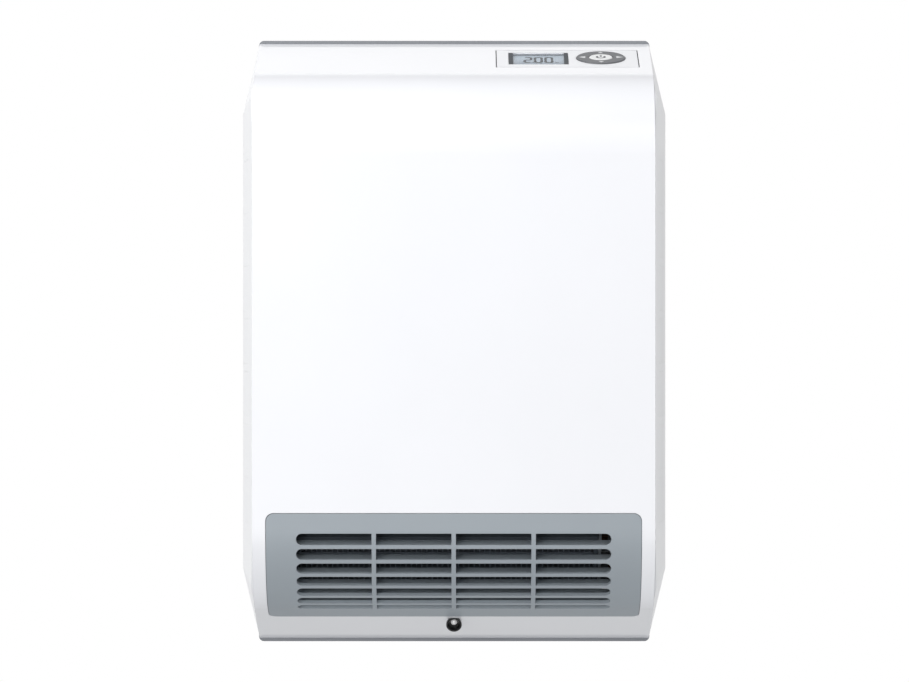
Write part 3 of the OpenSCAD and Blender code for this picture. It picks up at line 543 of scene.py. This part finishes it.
def makeArrows(settings):
    # four arrowheads that point outwards, the two across the slope smaller
    full = settings["arrowRadius"]
    short = settings["shortArrowRadius"]
    parts = []
    for turn, radius in ((0, full), (180, full), (90, short), (270, short)):
        bpy.ops.mesh.primitive_circle_add(vertices=3, radius=radius, fill_type="NGON")
        arrow = bpy.context.object
        arrow.data.transform(Matrix.Rotation(math.radians(-90), 4, "Z"))
        editAll(arrow)
        bpy.ops.mesh.bevel(offset=settings["arrowCut"], affect="VERTICES")
        giveThickness(settings["ink"])
        arrow.matrix_world = (Matrix.Rotation(math.radians(turn), 4, "Z")
                              @ Matrix.Translation((settings["arrowOffset"], 0, 0)))
        parts.append(arrow)
    place = overKeypad(settings["ringTop"])
    return finishPiece(parts, "ringArrows", place, "nav_ring", "paleInk")


def makeButtonMark(settings):
    # the usual standby sign: an open ring with a bar in its gap
    radius = settings["markRadius"]
    line = settings["markLine"]
    bpy.ops.mesh.primitive_circle_add(vertices=settings["markSides"], radius=radius, fill_type="NOTHING")
    ring = bpy.context.object
    inner = 1 - line / radius
    editAll(ring)
    bpy.ops.mesh.extrude_region_move()
    bpy.ops.transform.resize(value=(inner, inner, 1))
    bpy.ops.mesh.select_all(action="DESELECT")
    bpy.ops.object.mode_set(mode="OBJECT")
    for face in ring.data.polygons:
        face.select = face.center.y > 0 and abs(face.center.x) < line * settings["markGapLines"]
    bpy.ops.object.mode_set(mode="EDIT")
    bpy.ops.mesh.delete(type="FACE")
    bpy.ops.mesh.select_all(action="SELECT")
    giveThickness(settings["ink"])
    bar = flatBar(line, radius, settings["ink"], settings["barCut"])
    bar.matrix_world = Matrix.Translation((0, radius * settings["barShare"], 0))
    place = overKeypad(settings["buttonTop"])
    return finishPiece([ring, bar], "buttonMark", place, "ok_button", "greyInk")


makeArrows(keypadSet)
makeButtonMark(keypadSet)
print("stage: keypad marks made")

# camera, lamps, world and floor, in metres

cameraSet = {"place": (0.010, -3.614, 0.0), "lens": 182.7, "sensor": 36, "shiftX": -0.0137}
cameraData = bpy.data.cameras.new("photoCamera")
cameraData.lens = cameraSet["lens"]
cameraData.sensor_width = cameraSet["sensor"]
cameraData.shift_x = cameraSet["shiftX"]
camera = bpy.data.objects.new("photoCamera", cameraData)
bpy.context.scene.collection.objects.link(camera)
camera.location = cameraSet["place"]
camera.rotation_euler = (math.radians(90), 0, 0)
bpy.context.scene.camera = camera

lampSet = {
    "keyLamp": {"spot": (-1.4, -3.2, 0.1), "size": 1.6, "power": 35.0},
    "topLamp": {"spot": (-0.8, -0.9, 1.6), "size": 1.4, "power": 20.0},
}
lampAim = Vector((0, -0.06, 0))
for lampName, settings in lampSet.items():
    lampData = bpy.data.lights.new(lampName, "AREA")
    lampData.size = settings["size"]
    lampData.energy = settings["power"]
    lamp = bpy.data.objects.new(lampName, lampData)
    bpy.context.scene.collection.objects.link(lamp)
    lamp.location = settings["spot"]
    lamp.rotation_euler = (lampAim - Vector(settings["spot"])).to_track_quat("-Z", "Y").to_euler()

worldSet = {
    "light": 0.6, "background": 1.0, "overhead": 0.02,
    "ceilingFrom": 0.61, "ceilingFull": 0.72,  # sine of the height over the horizon
}
world = bpy.data.worlds.new("paleStudio")
bpy.context.scene.world = world
world.use_nodes = True
studio = world.node_tree
studio.nodes.clear()

# the backdrop is white where the camera or a pane looks, and gloss sees it too,
# up to the dimmer ceiling over it
ray = addNode(studio, "LightPath")
around = addNode(studio, "TexCoord")
direction = addNode(studio, "SeparateXYZ", links={"Vector": around.outputs["Generated"]})
ceiling = addNode(studio, "MapRange", {
    "From Min": worldSet["ceilingFrom"], "From Max": worldSet["ceilingFull"],
    "To Min": worldSet["background"], "To Max": worldSet["overhead"]},
    {"Value": direction.outputs["Z"]})
inGloss = addNode(studio, "Mix", {"A": worldSet["light"]},
                  {"Factor": ray.outputs["Is Glossy Ray"], "B": ceiling.outputs["Result"]})
direct = addNode(studio, "Math", operation="MAXIMUM", links={
    0: ray.outputs["Is Camera Ray"], 1: ray.outputs["Is Transmission Ray"]})
strength = addNode(studio, "Mix", {"B": worldSet["background"]},
                   {"Factor": direct.outputs[0], "A": inGloss.outputs["Result"]})
sky = addNode(studio, "Background", {"Color": rgb("#ffffff")}, {"Strength": strength.outputs["Result"]})
addNode(studio, "OutputWorld", links={"Surface": sky.outputs[0]})

groundSet = {"z": -2.2, "size": 14.0, "glow": 0.33, "speckle": 25 * mm}
bpy.ops.mesh.primitive_plane_add(size=groundSet["size"], location=(0, 0, groundSet["z"]))
ground = bpy.context.object
ground.name = "paleFloor"
groundMaterial, groundTree, groundPlace = startMaterial("paleFloorPaint")
speckle = addNode(groundTree, "TexNoise", {"Scale": 1 / groundSet["speckle"]}, {"Vector": groundPlace})
# the camera sees the floor paler than the lamps light it
groundRay = addNode(groundTree, "LightPath")
groundGlow = addNode(groundTree, "Math", {1: groundSet["glow"]}, {0: groundRay.outputs["Is Camera Ray"]},
                     operation="MULTIPLY")
groundShader = addNode(groundTree, "BsdfPrincipled", {"Roughness": 0.9, "Emission Color": rgb("#ffffff")}, {
    "Base Color": tint(groundTree, speckle.outputs["Fac"], "#e9eaeb", "#ecedee"),
    "Emission Strength": groundGlow.outputs[0]})
endMaterial(groundTree, groundShader)
ground.data.materials.append(groundMaterial)
print("stage: camera, lamps and floor set")

bpy.context.scene.view_settings.view_transform = "Standard"
